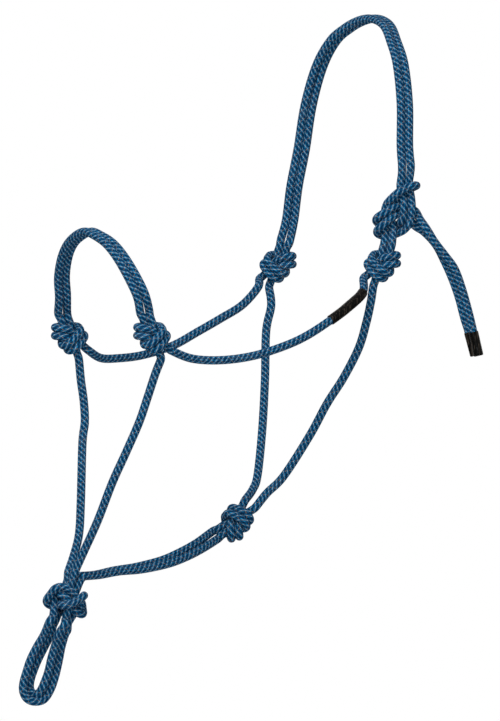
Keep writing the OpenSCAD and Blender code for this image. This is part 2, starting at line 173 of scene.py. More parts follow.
# Double overhand knot, as (across, up, out): two ropes come in at the top and leave at the bottom.
OVERHAND_A = [
    (-10, 17.8, 0.5), (-7.5, 10.5, -0.5), (-7, 2.5, -0.5), (-7.5, -4, 0), (-8, -8, 3.5), (-5.5, -9.5, 8.5),
    (0, -7.5, 11.5), (5, -2.5, 10), (9.5, 2.5, 6.5), (9.5, 6, 1.5), (7.5, 8, -5), (2, 9, -10),
    (-5, 8.5, -9.5), (-11.5, 8, -6.5), (-14.5, 7.5, -1), (-12, 7, 5), (-6.5, 6, 6.5), (-1, 4.5, 5),
    (4, 0.5, 1.5), (7.5, -4.5, -3), (11, -8.5, -4.5), (15, -12.5, -6)]
OVERHAND_B = [
    (-2.8, 20, -3.2), (-1, 13, -2.5), (0, 6, -3.5), (-0.5, -0.5, -4.5), (-1.5, -6.5, -3.5), (-2.5, -11, -1.5),
    (-2, -14, 3), (1.5, -14, 7.5), (6, -11.5, 9), (10, -7.5, 6.5), (12.5, -3.5, 2.5), (13.5, 0, -2),
    (10.5, 1, -7.2), (4, 1, -11), (-3, 1, -11.7), (-9, 0.5, -8.5), (-14, 0, -3.5), (-14, -0.5, 2.5),
    (-10, -1, 6.5), (-4.5, -2, 6.5), (0, -5.5, 4), (3.5, -9, 2), (5.5, -13.5, 1.5), (7, -19, 1.5)]
IN_A, OUT_A = OVERHAND_A[0], OVERHAND_A[-1]
IN_B, OUT_B = OVERHAND_B[0], OVERHAND_B[-1]

# Fiador knot: four ropes, each a quarter turn on from the last, as (radius, angle, up)
FIADOR_STRAND = [
    (6.7, -8, 23.7), (5.8, -10, 15), (5.5, -12, 6), (6, -16, -2), (8, -20, -7), (12, -11, -10.5),
    (16.5, 3, -10), (18.5, 17, -7.5), (19, 29, -2.5), (19, 41, 2.5), (18.5, 53, 7.5), (16, 67, 10.5),
    (13, 86, 9.5), (11.5, 109, 7.5), (11.5, 133, 4), (13, 155, 1), (13, 179, -1.5), (11.5, 200, -6),
    (11, 208, -12), (10, 211, -17), (9.5, 214, -22.5)]
FIADOR_TURN = 53
JAW_NEAR, JAW_FAR, CHIN_FAR, CHIN_NEAR = 0, 1, 2, 3


def fiador_rope(turn):
    made = []
    for radius, angle, up in FIADOR_STRAND:
        a = math.radians(angle + FIADOR_TURN + 90 * turn)
        made.append((radius * math.cos(a), up, radius * math.sin(a)))
    return made


# Sheet bend that ties the crown into the loop, as (across, up, out)
TIE_FRONT = [
    (11.8, 46, 0), (11.5, 39, 0), (10.5, 32, 0.5), (12, 25, 1), (13.5, 18.5, 3.5), (14, 11.5, 5.5),
    (13.5, 4.5, 5), (12, -1.5, 3), (9, -6, -2), (4.5, -9, -6.5), (-2.5, -9.5, -7.5), (-9, -8, -6.5),
    (-13.5, -5, -2.5), (-12.5, -1, 3.5), (-7.5, 2.5, 6.5), (-1.5, 6.5, 7), (3.5, 10, 4), (9, 12, -0.5),
    (15.5, 11, -2.5), (21.5, 7.5, -3.5)]
TIE_REAR = [
    (20.2, 46, 0), (19.3, 39, 0), (18.3, 32, 0), (20, 25.5, 1.5), (21, 18.5, 2.5), (21.5, 11.5, 4),
    (21, 5, 3.5), (19.5, -2, 2.5), (17, -7.8, -0.5), (13, -13, -3), (7.5, -16.5, -5.5), (1, -19, -7),
    (-5.5, -19.5, -6.5), (-12, -18, -4), (-13.5, -14.5, 2), (-10, -10.5, 6.5), (-5, -6.5, 7.5),
    (0, -2, 6), (5, 2, 3), (9.5, 3, -2), (16, 0, -4.5), (22.5, -6.5, -5.5)]
TIE_EYE = [
    (-6, -15.5, 0.5), (-6, -8.5, 0), (-6, -1.5, -0.5), (-5.5, 5.5, -0.5), (-3.5, 12, 1.5), (0.5, 17.5, 4),
    (5, 22, 6.5), (10.5, 26, 8.5), (17, 29, 8), (23, 31.5, 6.5), (26, 31.5, 0), (22.5, 30.5, -6),
    (16.5, 27.5, -7.5), (11, 23, -7.5), (6.5, 17.5, -7), (3.5, 11.5, -6), (1.5, 5, -4.5),
    (1.5, -1.5, -2.5), (1.5, -8, 0.5), (1.5, -15, 0.5)]
TAIL_FRONT = [
    (29, -2, -3), (35.5, -11.5, 2), (43.5, -24.5, 3.5), (53.5, -37.5, 3.5), (62.5, -50, 3.5), (69, -67, 4),
    (75.5, -89.5, 4), (81, -112, 4), (86, -134, 4)]
TAIL_REAR = [
    (33.5, -14.5, -6.5), (44.5, -26.5, -5.5), (52.5, -41.5, -5), (60.5, -59.5, -5), (67, -78, -5.5),
    (72, -97, -5.5), (76.5, -111.5, -5.5), (82.5, -134, -5.5)]

# Lead loops, as (across, up, out) from the fiador knot
OUTER_LOOP = [
    (-22, -33, 4), (-29, -45, 4), (-35, -57, 4), (-39, -69, 4), (-42, -80, 4), (-42, -88, 4),
    (-38.5, -94.5, 3.5), (-31.5, -97.5, 2.5), (-22.5, -95.5, 0), (-16, -86, -2.5), (-11.5, -73, -3.5),
    (-8, -58, -3.5), (-5.5, -45, -3.5), (-2, -33, -3)]
INNER_LOOP = [
    (-15.5, -32, -4), (-22, -45, -4.5), (-28, -57, -4.5), (-32.5, -68, -4.5), (-35.5, -78, -4.5),
    (-35.5, -86, -4.5), (-31, -91, -1.5), (-26, -88, 2), (-22, -80, 4), (-18, -69, 4), (-15, -56, 4.5),
    (-11.5, -44, 6), (-7.5, -32, 11)]

# ---------------------------------------------------------------- routes of the runs
# Rows are (share of the way, bow in x, y and z).
CHEEK_NEAR_BOW = [
    (0.1, -1, 5, -17), (0.22, 2, 8, -27), (0.36, 5, 10, -33), (0.5, 9, 10, -34),
    (0.62, 11, 9, -32), (0.74, 13, 7, -26), (0.84, 15, 5, -19), (0.93, 13, 3, -11)]
CHEEK_FAR_BOW = [
    (0.08, -5, 4, -15), (0.16, -4, 6, -21), (0.29, -3, 8, -27), (0.45, -1, 9, -29),
    (0.59, 2, 8, -25), (0.71, 5, 7, -21), (0.83, 8, 6, -16), (0.93, 9, 3, -6)]
CHIN_NEAR_BOW = [
    (0.08, 1, 2, -1), (0.17, 0, 3, -4), (0.28, 3, 2, -5), (0.42, 5, -1, -5), (0.56, 4, -2, -4),
    (0.73, 3, -1, -4), (0.88, -1, 0, -3)]
CHIN_FAR_BOW = [
    (0.09, -6, 9, -5), (0.17, -10, 16, -8), (0.26, -11, 19, -9), (0.36, -12, 18, -9),
    (0.62, -9, 17, -9), (0.78, -5, 14, -6), (0.89, -3, 8, -3)]
THROAT_FAR_BOW = [
    (0.09, -3, 10, -6), (0.17, -4, 14, -9), (0.38, -7, 15, -10), (0.6, -8, 12, -8), (0.8, -5, 5, -4),
    (0.91, 0, 4, -2)]
THROAT_NEAR_BOW = [
    (0.1, -6, 7, -6), (0.19, -3, 12, -9), (0.36, 3, 14, -7), (0.5, 6, 12, -7), (0.62, 8, 13, -8),
    (0.75, 8, 12, -8), (0.85, 6, 8, -5), (0.93, 3, 4, -2)]
# Jaw: (share of the way, bow x, y, z, then the direction from the near rope to the far one)
JAW_BOW = [
    (0.12, 0, 2, -1, -1, 0, 0), (0.25, 1, 3, -3, -1, 0, 0.1), (0.4, 3, 3, -7, -1, -0.1, 0.3),
    (0.57, 5, 3, -9, -1, -0.2, 0.5), (0.7, 6, 2, -8, -1, -0.3, 0.8), (0.83, 6, 1, -5, -0.8, -0.45, 0.9)]
# Noseband: (share of half the width, reach past the knots, share of the rise, side direction x, y, z)
NOSEBAND_LINE = [
    (0.95, 11, 0.38, 0.5, 1, 0.4), (0.85, 17, 0.57, 0.3, 1, 0.3), (0.67, 22, 0.76, 0.1, 1, 0.2),
    (0.46, 25, 0.89, 0, 1, 0.1), (0.2, 27, 0.97, 0, 1, 0)]
NOSEBAND_TOP = (0, 27, 1, 0, 1, 0)
# Crown: (share of half the width, y, share of the drop, side direction x, y)
CROWN_FAR_LINE = [
    (1.03, -26, 0.82, 0.6, 1), (1.04, -20, 0.68, 0.6, 1), (1, -14, 0.53, 0.6, 1), (0.93, -10, 0.35, 0.4, 1),
    (0.78, -6, 0.19, 0.2, 1), (0.58, -2, 0.088, 0, 1), (0.39, 3, 0.038, 0, 1), (0.2, 6, 0.01, 0, 1)]
CROWN_TOP = (0, 7, 0, 0, 1)
CROWN_NEAR_LINE = [
    (0.2, 6, 0.01, 0, 1), (0.39, 3, 0.038, 0, 1), (0.59, -3, 0.095, 0, 1), (0.8, -8, 0.19, 0.2, 1),
    (0.96, -13, 0.35, 0.4, 1), (1.05, -18.5, 0.52, 0.6, 1)]


def bow(p, q, rows):
    """The rows' points between p and q."""
    return [p + r[0] * (q - p) + np.array(r[1:4]) for r in rows]


def between(knot_a, point_a, knot_b, point_b, rows):
    """A rope from one knot to another."""
    a, b = knot_a.beyond(point_a), knot_b.beyond(point_b)
    return np.vstack([a, knot_a.beyond(point_a, LEAD_IN), *bow(a, b, rows),
                      knot_b.beyond(point_b, LEAD_IN), b])


def aside(point, direction, hand):
    """The place of one rope of a pair that lies side by side."""
    return np.asarray(point, float) + hand * ROPE_R * PAIR_PITCH * unit(direction)


def noseband_route(point, hand):
    def at(row, side):
        share, reach, rise, *direction = row
        return aside((side * share * NOSE_W / 2, -NOSE_REACH - reach, -NOSE_DROP + rise * NOSEBAND_RISE),
                     direction, hand)
    return np.vstack([nose_near.beyond(point), nose_near.beyond(point, LEAD_IN),
                      *[at(r, 1) for r in NOSEBAND_LINE], at(NOSEBAND_TOP, 1),
                      *[at(r, -1) for r in reversed(NOSEBAND_LINE)],
                      nose_far.beyond(point, LEAD_IN), nose_far.beyond(point)])


def crown_route(point, tie_points, hand):
    def at(row, side):
        share, y, drop, *direction = row
        return aside((side * share * CHEEK_W / 2, y, ROPE_R - drop * (CHEEK_DROP + ROPE_R)),
                     (*direction, 0), hand)
    start = np.array(tie_points[0])
    return np.vstack([cheek_far.beyond(point), cheek_far.beyond(point, LEAD_IN),
                      *[at(r, -1) for r in CROWN_FAR_LINE], at(CROWN_TOP, 1),
                      *[at(r, 1) for r in CROWN_NEAR_LINE],
                      tie.place(start + (0, TIE_LEAD, 0)), tie.place(start)])


def jaw_route(turn, point, hand):
    a = (fiador.beyond(fiador_rope(JAW_NEAR)[0]) + fiador.beyond(fiador_rope(JAW_FAR)[0])) / 2
    b = (throat.beyond(IN_A) + throat.beyond(IN_B)) / 2
    top = fiador_rope(turn)[0]
    return np.vstack([fiador.beyond(top), fiador.beyond(top, LEAD_IN),
                      *[aside(a + r[0] * (b - a) + np.array(r[1:4]), r[4:7], hand) for r in JAW_BOW],
                      throat.beyond(point, LEAD_IN), throat.beyond(point)])


def loop_route(start_turn, end_turn, points):
    start, end = fiador_rope(start_turn)[-1], fiador_rope(end_turn)[-1]
    return np.vstack([fiador.beyond(start), fiador.beyond(start, LEAD_IN), lead.place(points),
                      fiador.beyond(end, LEAD_IN), fiador.beyond(end)])


def tail_route(tie_points, line):
    end, before = tie.place(tie_points[-1]), tie.place(tie_points[-2])
    return np.vstack([end, end + ROPE_R * unit(end - before), tie.place(line)])


def loop_of_tie():
    return np.vstack([cheek_near.beyond(IN_B), cheek_near.beyond(IN_B, STUB), tie.place(TIE_EYE),
                      cheek_near.beyond(IN_A, STUB), cheek_near.beyond(IN_A)])


ROUTES = {
    "tail_front": tail_route(TIE_FRONT, TAIL_FRONT),
    "tail_rear": tail_route(TIE_REAR, TAIL_REAR),
    "crown_rope_front": crown_route(IN_B, TIE_FRONT, -1),
    "crown_rope_rear": crown_route(IN_A, TIE_REAR, 1),
    "cheek_rope_near": between(nose_near, OUT_A, cheek_near, OUT_A, CHEEK_NEAR_BOW),
    "cheek_rope_far": between(nose_far, OUT_A, cheek_far, OUT_A, CHEEK_FAR_BOW),
    "noseband_rope_front": noseband_route(IN_A, -1),
    "noseband_rope_rear": noseband_route(IN_B, 1),
    "chin_rope_near": between(nose_near, OUT_B, fiador, fiador_rope(CHIN_NEAR)[0], CHIN_NEAR_BOW),
    "chin_rope_far": between(nose_far, OUT_B, fiador, fiador_rope(CHIN_FAR)[0], CHIN_FAR_BOW),
    "throat_rope_near": between(throat, OUT_B, cheek_near, OUT_B, THROAT_NEAR_BOW),
    "throat_rope_far": between(throat, OUT_A, cheek_far, OUT_B, THROAT_FAR_BOW),
    "jaw_rope_near": jaw_route(JAW_NEAR, IN_A, -1),
    "jaw_rope_far": jaw_route(JAW_FAR, IN_B, 1),
    "lead_loop_outer": loop_route(JAW_NEAR, CHIN_FAR, OUTER_LOOP),
    "lead_loop_inner": loop_route(CHIN_NEAR, JAW_FAR, INNER_LOOP),
}
# The rope as it is knotted, from one capped end to the other: (node, rope of the knot, direction)
CHAIN = [
    ("tail_front", 0, -1), ("tie_knot_front", 0, -1), ("crown_rope_front", 0, -1), ("cheek_knot_far", 1, 1),
    ("throat_rope_far", 0, -1), ("throat_knot", 0, -1), ("jaw_rope_near", 0, -1),
    ("fiador_knot", JAW_NEAR, 1), ("lead_loop_outer", 0, 1), ("fiador_knot", CHIN_FAR, -1),
    ("chin_rope_far", 0, -1), ("nose_knot_far", 1, -1),
    ("noseband_rope_rear", 0, -1), ("nose_knot_near", 1, 1), ("chin_rope_near", 0, 1),
    ("fiador_knot", CHIN_NEAR, 1), ("lead_loop_inner", 0, 1), ("fiador_knot", JAW_FAR, -1),
    ("jaw_rope_far", 0, 1), ("throat_knot", 1, 1), ("throat_rope_near", 0, 1), ("cheek_knot_near", 1, -1),
    ("tie_loop", 0, 1), ("cheek_knot_near", 0, 1), ("cheek_rope_near", 0, -1), ("nose_knot_near", 0, -1),
    ("noseband_rope_front", 0, 1), ("nose_knot_far", 0, 1),
    ("cheek_rope_far", 0, 1), ("cheek_knot_far", 0, -1),
    ("crown_rope_rear", 0, 1), ("tie_knot_rear", 0, 1), ("tail_rear", 0, 1)]


# ---------------------------------------------------------------- knots pulled snug
SETTLE_STEP = 1.7        # spacing of the points that are moved
SETTLE_TURNS = 90
SLACK = 0.34             # how hard a rope straightens in one turn
OWN_REACH = 1.6          # a rope doesn't press on itself within this many spacings
LOOK_REACH = 1.5         # points this many spacings apart may come to press
LOOK_EVERY = 6           # turns between two looks for such points
PRESSES = 3              # times that the ropes are moved apart in one turn
HELD_POINTS = 3          # at each end of a rope
CURVE_STEP = 0.6


def settle(ropes, held):
    """Pulls ropes snug: each straightens a little, and where two press together they move apart."""
    sizes = [len(r) for r in ropes]
    place = np.vstack(ropes)
    rope = np.repeat(np.arange(len(ropes)), sizes)
    index = np.concatenate([np.arange(n) for n in sizes])
    fixed = np.concatenate(held)
    inner = np.concatenate([(np.arange(n) > 0) & (np.arange(n) < n - 1) for n in sizes]) & ~fixed
    inner = np.nonzero(inner)[0]
    along = int(OWN_REACH * KNOT_SPACING / SETTLE_STEP)
    same = (rope[:, None] == rope[None]) & (np.abs(index[:, None] - index[None]) <= along)
    for turn in range(SETTLE_TURNS):
        pull = SLACK * ((place[inner - 1] + place[inner + 1]) / 2 - place[inner])
        place[inner] += pull
        if turn % LOOK_EVERY == 0:
            apart = np.linalg.norm(place[:, None] - place[None], axis=2)
            first, second = np.nonzero(np.triu((apart < LOOK_REACH * KNOT_SPACING) & ~same, 1))
        for _ in range(PRESSES):
            way = place[first] - place[second]
            gap = np.linalg.norm(way, axis=1) + 1e-9
            press = np.maximum(0, KNOT_SPACING - gap)
            hit = press > 0
            push = way[hit] * (press[hit] / gap[hit] / 2)[:, None]
            move, count = np.zeros_like(place), np.zeros(len(place))
            np.add.at(move, first[hit], push)
            np.add.at(move, second[hit], -push)
            np.add.at(count, first[hit], 1)
            np.add.at(count, second[hit], 1)
            move /= np.sqrt(np.maximum(count, 1))[:, None]
            move[fixed] = 0
            place += move
    return np.split(place, np.cumsum(sizes)[:-1])


def stepped(points):
    curve = spline(points, CURVE_STEP)
    return evenly(curve, round(travelled(curve)[-1] / SETTLE_STEP))


def ends_held(curves):
    """Which points of each curve are held: those at its ends."""
    held = [np.zeros(len(c), bool) for c in curves]
    for h in held:
        h[:HELD_POINTS] = h[-HELD_POINTS:] = True
    return held


def settled_knot(ropes):
    """The ropes of one knot, pulled snug with their ends held."""
    curves = [stepped(r) for r in ropes]
    return settle(curves, ends_held(curves))


def settled_tie():
    """The near cheek knot, the loop over it and the crown's two ropes, which all press together."""
    pieces = [stepped(cheek_near.squared(OVERHAND_B))[::-1], stepped(loop_of_tie()),
              stepped(cheek_near.squared(OVERHAND_A))]
    through = np.vstack([pieces[0], pieces[1][1:], pieces[2][1:]])
    cuts = [len(pieces[0]) - 1, len(pieces[0]) + len(pieces[1]) - 2]
    curves = [through, stepped(tie.place(TIE_FRONT)), stepped(tie.place(TIE_REAR))]
    held = ends_held(curves)
    held[0][cuts] = True
    whole, front, rear = settle(curves, held)
    return {"cheek_knot_near": [whole[cuts[1]:], whole[:cuts[0] + 1][::-1]],
            "tie_loop": [whole[cuts[0]:cuts[1] + 1]], "tie_knot_front": [front], "tie_knot_rear": [rear]}


KNOTS = settled_tie()
for name, knot in (("nose_knot_near", nose_near), ("nose_knot_far", nose_far),
                   ("cheek_knot_far", cheek_far), ("throat_knot", throat)):
    KNOTS[name] = settled_knot([knot.squared(OVERHAND_A), knot.squared(OVERHAND_B)])
KNOTS["fiador_knot"] = settled_knot([fiador.squared(fiador_rope(turn)) for turn in range(4)])


# ---------------------------------------------------------------- the whole rope, ring by ring
RUN_STEP = 0.9
JOIN_REACH = 13          # ends of pieces are faired over this many points
FAIR_PASSES = 20
FAIR_SHARE = 0.5         # of the way to straight, in one pass
SWELL = 17               # the rope swells out of a knot over this many points


def rope_rings():
    """Each piece of the rope, with its rings' centres, frames, radii and places in the braid."""
    curves = []
    for node, which, way in CHAIN:
        curve = spline(KNOTS[node][which] if node in KNOTS else ROUTES[node], RUN_STEP)
        count = max(4, round(travelled(curve)[-1] / RING_STEP))
        curves.append(evenly(curve, count)[::way])
    starts = np.cumsum([0] + [len(c) - 1 for c in curves])
    centre = np.vstack([curves[0]] + [c[1:] for c in curves[1:]])
    radius = np.concatenate([np.full(len(c) - 1, KNOT_R if node in KNOTS else ROPE_R)
                             for c, (node, _, _) in zip(curves, CHAIN)] + [[ROPE_R]])
    # Fair the joins, then let the radius change smoothly
    for join in starts[1:-1]:
        for _ in range(FAIR_PASSES):
            part = slice(join - JOIN_REACH, join + JOIN_REACH + 1)
            run = centre[part]
            middle = (run[:-2] + run[2:]) / 2
            weight = np.hanning(len(run))[1:-1, None]
            centre[part][1:-1] += FAIR_SHARE * weight * (middle - run[1:-1])
    kernel = np.hanning(SWELL + 2)[1:-1]
    radius = np.convolve(np.pad(radius, SWELL // 2, mode="edge"), kernel / kernel.sum(), mode="valid")
    # A frame carried along without twist
    tangent = np.vstack([centre[1] - centre[0], centre[2:] - centre[:-2], centre[-1] - centre[-2]])
    tangent /= np.linalg.norm(tangent, axis=1)[:, None]
    normal = np.zeros_like(centre)
    carried = unit(np.cross(tangent[0], OUT))
    for i, t in enumerate(tangent):
        carried = unit(carried - (carried @ t) * t)
        normal[i] = carried
    pieces = {}
    for k, (node, _, _) in enumerate(CHAIN):
        part = slice(starts[k], starts[k + 1] + 1)
        pieces.setdefault(node, []).append(dict(
            centre=centre[part] * MM, normal=normal[part], radius=radius[part] * MM,
            tangent=tangent[part], cell=np.arange(starts[k], starts[k + 1] + 1) / 2))
    return pieces


# ---------------------------------------------------------------- node trees
class Nodes:
    """Builds one node tree: a node takes its type, its settings, and the values or links of its sockets."""

    def __init__(self, tree):
        self.tree = tree

    def node(self, kind, settings=None, inputs=None):
        made = self.tree.nodes.new(kind)
        for name, value in (settings or {}).items():
            setattr(made, name, value)
        for name, value in (inputs or {}).items():
            value = value.socket if isinstance(value, Number) else value
            if isinstance(value, bpy.types.NodeSocket):
                self.tree.links.new(value, made.inputs[name])
            else:
                made.inputs[name].default_value = value
        return made

    def number(self, socket):
        return Number(self, socket)

    def mix(self, factor, a, b):
        """From colour a to colour b."""
        return self.node("ShaderNodeMix", {"data_type": "RGBA"}, {0: factor, 6: a, 7: b}).outputs[2]

    def vector(self, operation, a, b=None, **inputs):
        """Vector Math on one vector or two."""
        inputs.update({0: a} if b is None else {0: a, 1: b})
        return self.node("ShaderNodeVectorMath", {"operation": operation}, inputs).outputs


class Number:
    """A socket that carries a number, used in expressions."""

    def __init__(self, nodes, socket):
        self.nodes, self.socket = nodes, socket

    def math(self, operation, *others):
        inputs = {0: self}
        inputs.update({k + 1: other for k, other in enumerate(others)})
        made = self.nodes.node("ShaderNodeMath", {"operation": operation}, inputs)
        return Number(self.nodes, made.outputs[0])

    def turned(self, operation, other):
        made = self.nodes.node("ShaderNodeMath", {"operation": operation}, {0: other, 1: self})
        return Number(self.nodes, made.outputs[0])

    def __add__(self, other):
        return self.math("ADD", other)

    __radd__ = __add__

    def __sub__(self, other):
        return self.math("SUBTRACT", other)

    def __rsub__(self, other):
        return self.turned("SUBTRACT", other)

    def __mul__(self, other):
        return self.math("MULTIPLY", other)

    def __truediv__(self, other):
        return self.math("DIVIDE", other)

    def __pow__(self, other):
        return self.math("POWER", other)

    def floor(self):
        return self.math("FLOOR")

    def fraction(self):
        return self.math("FRACT")

    def wrapped(self, size):
        return self.math("FLOORED_MODULO", size)

    def below(self, limit):
        return self.math("LESS_THAN", limit)

    def size(self):
        return self.math("ABSOLUTE")

    def clear_of(self, low, high):
        """0 at low, 1 at high, smooth between."""
        made = self.nodes.node("ShaderNodeMapRange", {"interpolation_type": "SMOOTHSTEP"},
                               {"Value": self, "From Min": low, "From Max": high})
        return Number(self.nodes, made.outputs[0])


def braid(around, along):
    """The yarn on top at a place on the rope. around goes once from 0 to 1, and along counts cells.
    Gives which hand it winds, its number, the place across it from -1 to 1 and along it from 0 to 1."""
    left = around * YARNS + along
    right = around * YARNS - along
    left_count, right_count = left.floor(), right.floor()
    turn = (left_count + right_count).wrapped(4)
    first = turn.below(2)
    second = 1 - first
    left_part, right_part = left - left_count, right - right_count
    across = (first * left_part + second * right_part) * 2 - 1
    length = (first * (turn + right_part) + second * (turn - 2 + left_part)) / 2
    count = first * left_count + second * right_count
    return first, count, across, length


BACK_ROUNDNESS, DIP_ROUNDNESS = 0.7, 0.45


def yarn_height(across, length):
    """A yarn's round back, which dips where it goes under the next one."""
    round_back = (1 - across * across) ** BACK_ROUNDNESS
    dip = (length * (1 - length) * 4) ** DIP_ROUNDNESS
    return round_back * dip


def linear(red, green, blue):
    """A colour as it is read off a screen, 0 to 255."""
    values = [c / 255 for c in (red, green, blue)]
    return tuple([c / 12.92 if c <= 0.04045 else ((c + 0.055) / 1.055) ** 2.4 for c in values] + [1.0])


def new_material(name):
    material = bpy.data.materials.new(name)
    material.use_nodes = True
    material.node_tree.nodes.clear()
    return material, Nodes(material.node_tree)


def noise(nodes, scale, detail, vector=None):
    """Noise from 0 to 1 about 0.5, on the piece's own coordinates or a given vector."""
    vector = vector or nodes.node("ShaderNodeTexCoord").outputs["Object"]
    made = nodes.node("ShaderNodeTexNoise", {}, {"Vector": vector, "Scale": scale, "Detail": detail})
    return nodes.number(made.outputs[0])


def finish_material(nodes, colour, roughness, height, distance):
    """A surface with this bump height, whose bumps stand the given distance in metres."""
    bump = nodes.node("ShaderNodeBump", {}, {"Height": height, "Distance": distance, "Strength": 1.0})
    shader = nodes.node("ShaderNodeBsdfPrincipled", {}, {
        "Base Color": colour, "Roughness": roughness, "Normal": bump.outputs[0],
        "Specular IOR Level": DULL_SPECULAR})
    nodes.node("ShaderNodeOutputMaterial", {}, {"Surface": shader.outputs[0]})


# ---------------------------------------------------------------- materials
DULL_SPECULAR = 0.06
BLUE = linear(34, 166, 230)
DEEP_BLUE = linear(18, 112, 172)
NAVY = linear(6, 40, 84)
# Painted shade: the near black laid into the braid's hollows and seams
PAINTED_GAP_SHADE = linear(1, 4, 10)
TRACER = linear(184, 206, 220)
TAN = linear(196, 170, 138)
TAN_EVERY = 8            # yarns of the second hand from one with tan in it to the next
PALE_LANE, DARK_LANE = 0.5, 2.5  # middles of two of the four yarns, in yarns
BLACK = linear(4, 4, 4)
# Painted highlight: the pale brown of the streaks along the black plastic
HIGHLIGHT_STREAK_BROWN = linear(64, 57, 50)
GRIME_BROWN = linear(48, 43, 38)


def rope_material():
    """A braid of blue yarns, of which some are darker, one in four is pale and a few are tan, with painted
    shade in the hollows and seams between the yarns.
    """
    material, nodes = new_material("Braided blue rope")
    place = nodes.node("ShaderNodeSeparateXYZ", {}, {
        0: nodes.node("ShaderNodeUVMap", {"uv_map": "Braid"}).outputs[0]})
    around, along = nodes.number(place.outputs[0]), nodes.number(place.outputs[1])
    first, count, across, length = braid(around, along)
    height = yarn_height(across, length)
    left = around * YARNS + along

    def lane(middle, near, far):
        """1 along one yarn in every few of the first hand, fading from near to far yarns off its middle."""
        return 1 - (left.wrapped(TRACER_EVERY) - middle).size().clear_of(near, far)

    # Of every four yarns of the first hand one holds a pale thread and another is dark
    pale = lane(PALE_LANE, 0.12, 0.42) * (0.5 + first * 0.5)
    dark = lane(DARK_LANE, 0.2, 1.0)
    # Painted shade: the seams between neighbouring yarns are darkened
    painted_seam_shade = ((left.fraction() - 0.5).size() * 2).clear_of(0.6, 1.0) * (1 - first * 0.4)
    tan = (1 - first) * count.wrapped(TAN_EVERY).below(0.5) * (1 - across.size().clear_of(0.3, 0.8)) * 0.5
    # Fine filaments run along each yarn
    yarn = nodes.node("ShaderNodeCombineXYZ", {}, {
        0: across * 3.5, 1: length * 1.2, 2: count * 7.3 + first * 3.1 + (along / 3).floor()})
    filament = noise(nodes, 1.0, 2.0, yarn.outputs[0])
    # Each stretch of yarn that lies on top has a tint of its own
    single = nodes.node("ShaderNodeCombineXYZ", {}, {0: count, 1: first, 2: (along / 2).floor()})
    tint = nodes.number(nodes.node("ShaderNodeTexWhiteNoise", {"noise_dimensions": "3D"}, {
        "Vector": single.outputs[0]}).outputs[0])
    wear = noise(nodes, 38.0, 4.0)
    blue = nodes.mix(first, DEEP_BLUE, BLUE)
    blue = nodes.mix(tint * 0.55, blue, NAVY)
    blue = nodes.mix(filament.clear_of(0.35, 0.65) * 0.35, blue, NAVY)
    blue = nodes.mix(dark * 0.8, blue, NAVY)
    blue = nodes.mix(tan, blue, TAN)
    # Painted shade: the low hollows between the yarns' backs, and the seams, fade to near black
    gap_shaded = nodes.mix(height.clear_of(0.1, 0.8), PAINTED_GAP_SHADE, blue)
    gap_shaded = nodes.mix(painted_seam_shade * 0.7, gap_shaded, PAINTED_GAP_SHADE)
    worn = nodes.mix(wear.clear_of(0.55, 0.8) * height * 0.08, gap_shaded, TRACER)
    traced = nodes.mix(pale * (0.4 + filament * 0.75), worn, TRACER)
    roughness = 0.8 - height * 0.15 + (filament - 0.5) * 0.2
    finish_material(nodes, traced, roughness, height + filament * 0.22, 0.5 * MM)
    return material


def shrink_material():
    """Black shrunk plastic with fine creases along it, painted pale brown highlight streaks along them, and a
    little grime.
    """
    material, nodes = new_material("Black heat shrink")
    grime = noise(nodes, 90.0, 5.0)
    streak = noise(nodes, 420.0, 3.0)
    ripple = noise(nodes, 160.0, 2.0)
    lengthways = nodes.vector("MULTIPLY", nodes.node("ShaderNodeTexCoord").outputs["Object"], (1, 1, 0.08))
    crease_and_highlight = noise(nodes, 700.0, 2.0, lengthways[0])
    # Painted highlight: pale brown streaks along the creases stand in for gloss that catches the lamps
    colour = nodes.mix(crease_and_highlight.clear_of(0.5, 0.72), BLACK, HIGHLIGHT_STREAK_BROWN)
    colour = nodes.mix(grime.clear_of(0.55, 0.85) * 0.4, colour, GRIME_BROWN)
    roughness = 0.26 + (grime - 0.5) * 0.3 + (crease_and_highlight - 0.5) * 0.2
    finish_material(nodes, colour, roughness, ripple * 0.7 + streak * 0.12 + crease_and_highlight * 0.3, 0.6 * MM)
    return material


def floor_material():
    """A pale floor that keeps the shadow and fades into the white backdrop."""
    material, nodes = new_material("Pale floor")
    place = nodes.node("ShaderNodeTexCoord").outputs["Object"]
    reach = nodes.number(nodes.vector("LENGTH", place)["Value"])
    seen = nodes.number(nodes.node("ShaderNodeLightPath").outputs["Is Camera Ray"])
    fade = (0.45 + reach.clear_of(0.2, 1.3) * 0.55) * seen
    pale = nodes.node("ShaderNodeBsdfPrincipled", {}, {
        "Base Color": linear(226, 226, 226), "Roughness": 0.8, "Specular IOR Level": 0.2})
    white = nodes.node("ShaderNodeEmission", {}, {"Color": (1, 1, 1, 1), "Strength": 1.0})
    both = nodes.node("ShaderNodeMixShader", {}, {0: fade, 1: pale.outputs[0], 2: white.outputs[0]})
    nodes.node("ShaderNodeOutputMaterial", {}, {"Surface": both.outputs[0]})
    return material


# ---------------------------------------------------------------- the braided rope
RELIEF = 0.16            # how far a yarn's back stands over the gaps, in millimetres
CAP_STEP = 0.02          # from a piece's last ring to the middle of its end face
SEAM_WELD = 0.01         # points of the tube this near are one


